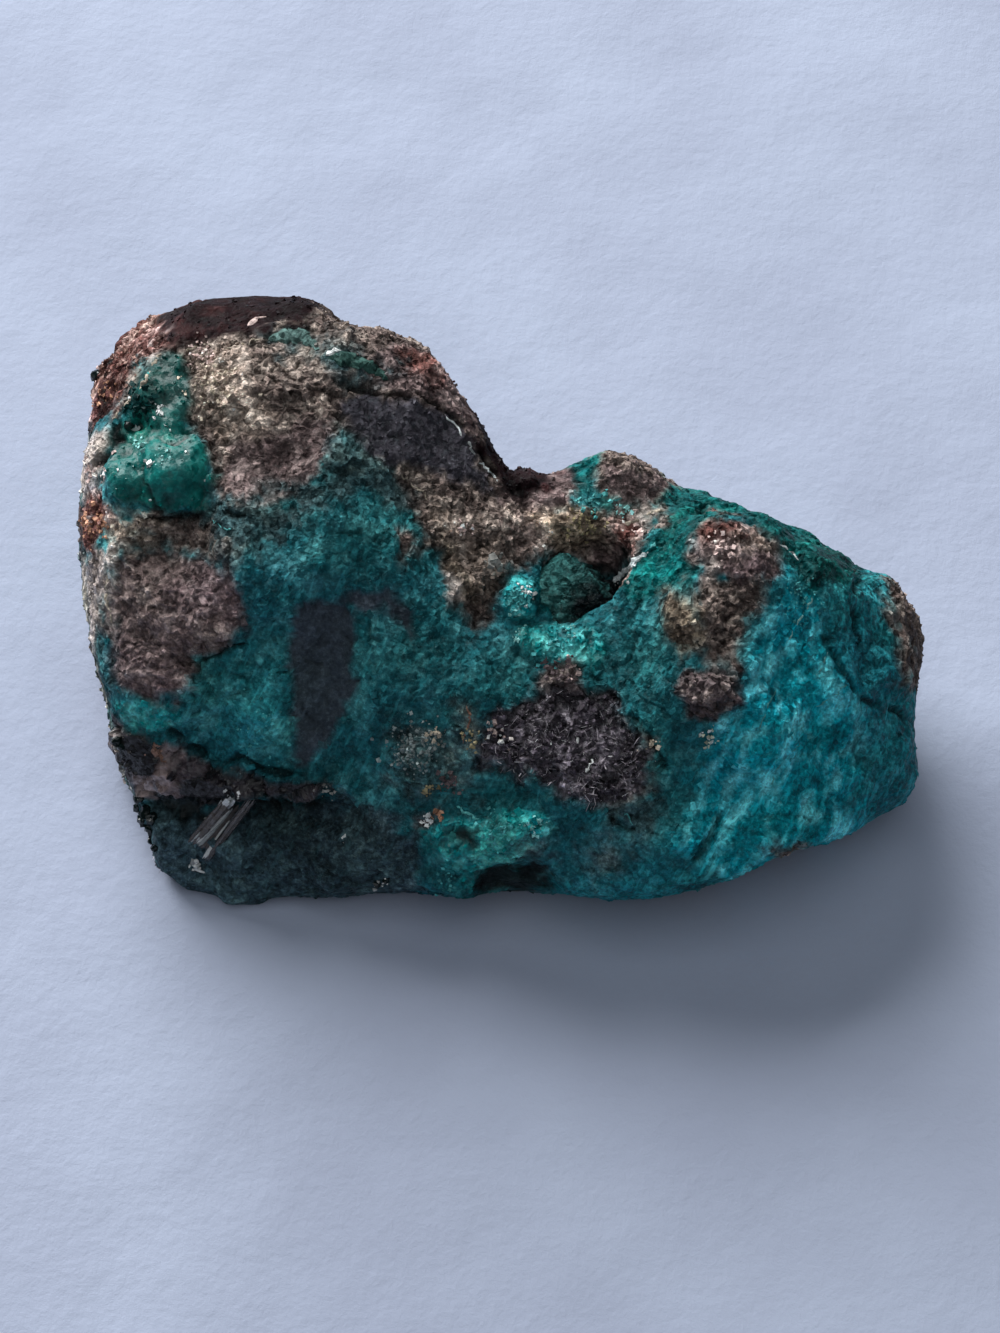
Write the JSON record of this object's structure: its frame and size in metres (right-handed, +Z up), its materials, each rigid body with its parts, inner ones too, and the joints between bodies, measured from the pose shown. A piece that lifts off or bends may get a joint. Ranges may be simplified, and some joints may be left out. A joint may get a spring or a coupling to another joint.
{
  "type": "dioptase specimen",
  "caption": "Natural mineral specimen: a two-lobed block of teal and turquoise copper silicate through brown granular matrix, lying on its flat underside.",
  "frame": {"origin": "middle of the footprint's bounding box, on the surface that the stone rests on", "axes": "+X to the right along the stone's length, +Y to the back, +Z up"},
  "size_m": [0.0865, 0.0625, 0.0367],
  "materials": {
    "stone": "rough broken mineral, with glassy and sugary patches"
  },
  "bodies": {
    "root": {"dioptase_specimen": "stone"}
  },
  "joints": []
}
